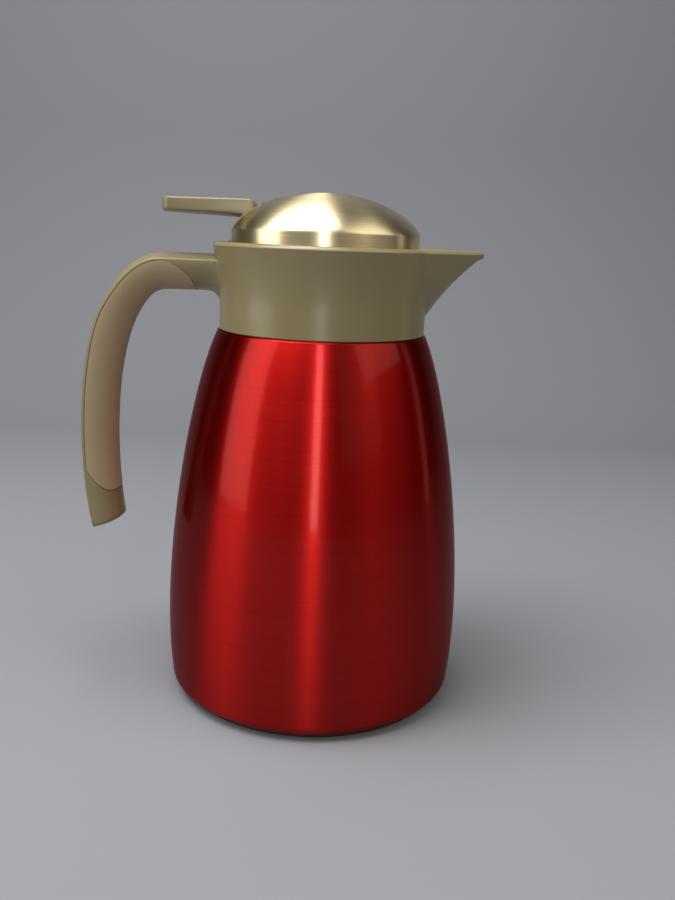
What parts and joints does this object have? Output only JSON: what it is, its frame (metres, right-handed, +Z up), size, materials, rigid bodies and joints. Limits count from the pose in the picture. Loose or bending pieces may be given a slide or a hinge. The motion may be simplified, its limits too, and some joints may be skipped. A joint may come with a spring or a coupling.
{
  "type": "vacuum jug",
  "caption": "Double-walled vacuum carry jug with an open spout, a fixed side handle with a soft grip and a domed lid whose thumb lever opens a sprung pouring valve.",
  "frame": {"origin": "on the jug's axis, at the flat underside of the foot pad", "axes": "+Z up along the jug's axis, +X towards the spout, handle on -X, +Y to the left of the spout"},
  "size_m": [0.1827, 0.138, 0.2317],
  "materials": {
    "red_lacquer": "clear red lacquer over brushed steel, glossy",
    "liner_steel": "satin",
    "dome_steel": "brushed round the axis",
    "taupe_plastic": "satin, fine grain",
    "soft_grip": "soft matte",
    "black_plastic": "matte",
    "foot_rubber": "matte",
    "inner_plastic": "matte",
    "stopper_plastic": "matte",
    "seal_rubber": "matte silicone",
    "pin_steel": "bright",
    "spring_steel": "bright drawn wire"
  },
  "bodies": {
    "jug": {"outer_shell": "red_lacquer", "inner_liner": "liner_steel", "base_plate": "liner_steel", "vacuum_seal_cap": "liner_steel", "base_cup": "black_plastic", "foot_pad": "foot_rubber", "collar": "taupe_plastic", "neck_gasket": "seal_rubber", "thread_sleeve": "inner_plastic", "handle_frame": "taupe_plastic", "handle_grip": "soft_grip"},
    "seal": {"stopper_gasket": "seal_rubber"},
    "lid": {"lid_dome": "dome_steel", "slot_bezel": "taupe_plastic", "lid_base": "inner_plastic", "lever_pin": "pin_steel", "stopper_body": "stopper_plastic", "stopper_screws": "pin_steel", "return_spring": "spring_steel"},
    "lever": {"lever": "taupe_plastic"},
    "valve": {"valve_stem": "pin_steel", "stem_cap": "stopper_plastic", "valve_disc": "stopper_plastic", "valve_gasket": "seal_rubber", "stem_nut": "pin_steel"}
  },
  "joints": [
    {"name": "lid_lift", "type": "slide", "parent": "jug", "child": "seal", "axis": [0, 0, 1], "range_m": [0, 0.07]},
    {"name": "lid_turn", "type": "hinge", "parent": "seal", "child": "lid", "pos_m": [0, 0, 0.192], "axis": [0, 0, 1], "range_deg": [0, 90]},
    {"name": "lever_press", "type": "hinge", "parent": "lid", "child": "lever", "pos_m": [0.028, 0, 0.216], "axis": [0, -1, 0], "range_deg": [0, 7], "stiffness_Nm_per_rad": 0.9, "springref_deg": -17.19},
    {"name": "valve_slide", "type": "slide", "parent": "lid", "child": "valve", "axis": [0, 0, -1], "range_m": [0, 0.0035], "deforming": ["return_spring"]}
  ],
  "couplings": [
    {"joint": "valve_slide", "follows": "lever_press", "m_per_rad": 0.028}
  ]
}
